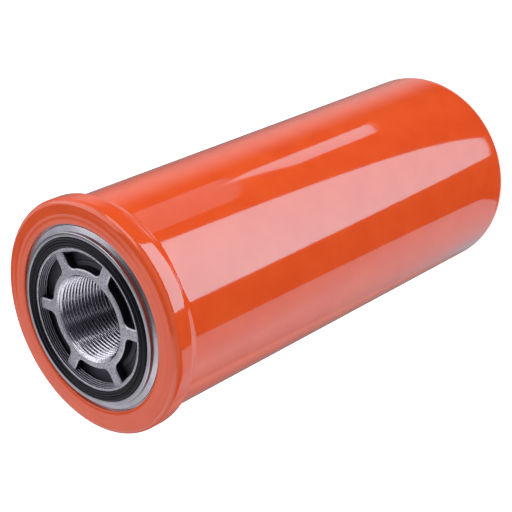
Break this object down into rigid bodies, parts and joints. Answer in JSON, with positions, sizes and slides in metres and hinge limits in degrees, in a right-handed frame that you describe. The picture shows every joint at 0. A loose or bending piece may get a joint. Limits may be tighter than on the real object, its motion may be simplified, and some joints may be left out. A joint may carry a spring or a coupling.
{
  "type": "spin-on oil filter",
  "caption": "Tall spin-on oil filter: a cylindrical canister with a rolled collar, a face gasket and a windowed thread plate at the open end, over a sprung pleated element.",
  "frame": {"origin": "centre of the closed end's underside, which the part stands on", "axes": "+Z along the canister's axis, out of the threaded hub; +X and +Y lie across the canister, with one spoke of the thread plate 47 degrees from +X toward +Y"},
  "size_m": [0.122, 0.122, 0.287],
  "materials": {
    "orange_paint": "glossy enamel with a slight orange peel",
    "cast_aluminium": "die-cast, fine sandy grain",
    "zinc_plate": "bright zinc plate",
    "nitrile": "smooth, slightly oily",
    "nitrile_seal": "smooth",
    "valve_rubber": "matt",
    "grommet_rubber": "matt",
    "cap_tinplate": "tinplate",
    "plastisol": "cured plastisol",
    "filter_paper": "resin-bonded fibre",
    "wire_mesh": "epoxy-coated woven wire",
    "band_fibre": "glued fibre strip",
    "tube_steel": "perforated sheet",
    "valve_steel": "pressed sheet",
    "nylon": "moulded nylon",
    "spring_steel": "drawn wire"
  },
  "bodies": {
    "housing": {"canister": "orange_paint", "thread_plate": "cast_aluminium", "retainer_ring": "zinc_plate", "gasket": "nitrile", "plate_o_ring": "nitrile_seal", "drain_valve_collar": "valve_rubber"},
    "element": {"hub_grommet": "grommet_rubber", "top_end_cap": "cap_tinplate", "bottom_end_cap": "cap_tinplate", "top_potting": "plastisol", "bottom_potting": "plastisol", "filter_media": "filter_paper", "upstream_mesh": "wire_mesh", "downstream_mesh": "wire_mesh", "seam_clip": "cap_tinplate", "pleat_bands": "band_fibre", "centre_tube": "tube_steel", "bypass_seat": "valve_steel", "bypass_washer": "grommet_rubber", "bypass_cage": "valve_steel", "bypass_spring": "spring_steel", "spring_cup": "valve_steel", "element_spring": "spring_steel"},
    "bypass_poppet": {"bypass_poppet": "nylon"},
    "drain_valve_lip": {"drain_valve_lip": "valve_rubber"}
  },
  "joints": [
    {"name": "element_slide", "type": "slide", "parent": "housing", "child": "element", "axis": [0, 0, -1], "range_m": [0, 0.003], "stiffness_N_per_m": 4000, "springref_m": -0.012, "deforming": ["element_spring"]},
    {"name": "bypass_slide", "type": "slide", "parent": "element", "child": "bypass_poppet", "axis": [0, 0, 1], "range_m": [0, 0.004], "stiffness_N_per_m": 4000, "springref_m": -0.0108, "deforming": ["bypass_spring"]},
    {"name": "drain_valve_flex", "type": "slide", "parent": "housing", "child": "drain_valve_lip", "axis": [0, 0, -1], "range_m": [0, 0.0015], "stiffness_N_per_m": 1000, "springref_m": -0.001}
  ]
}
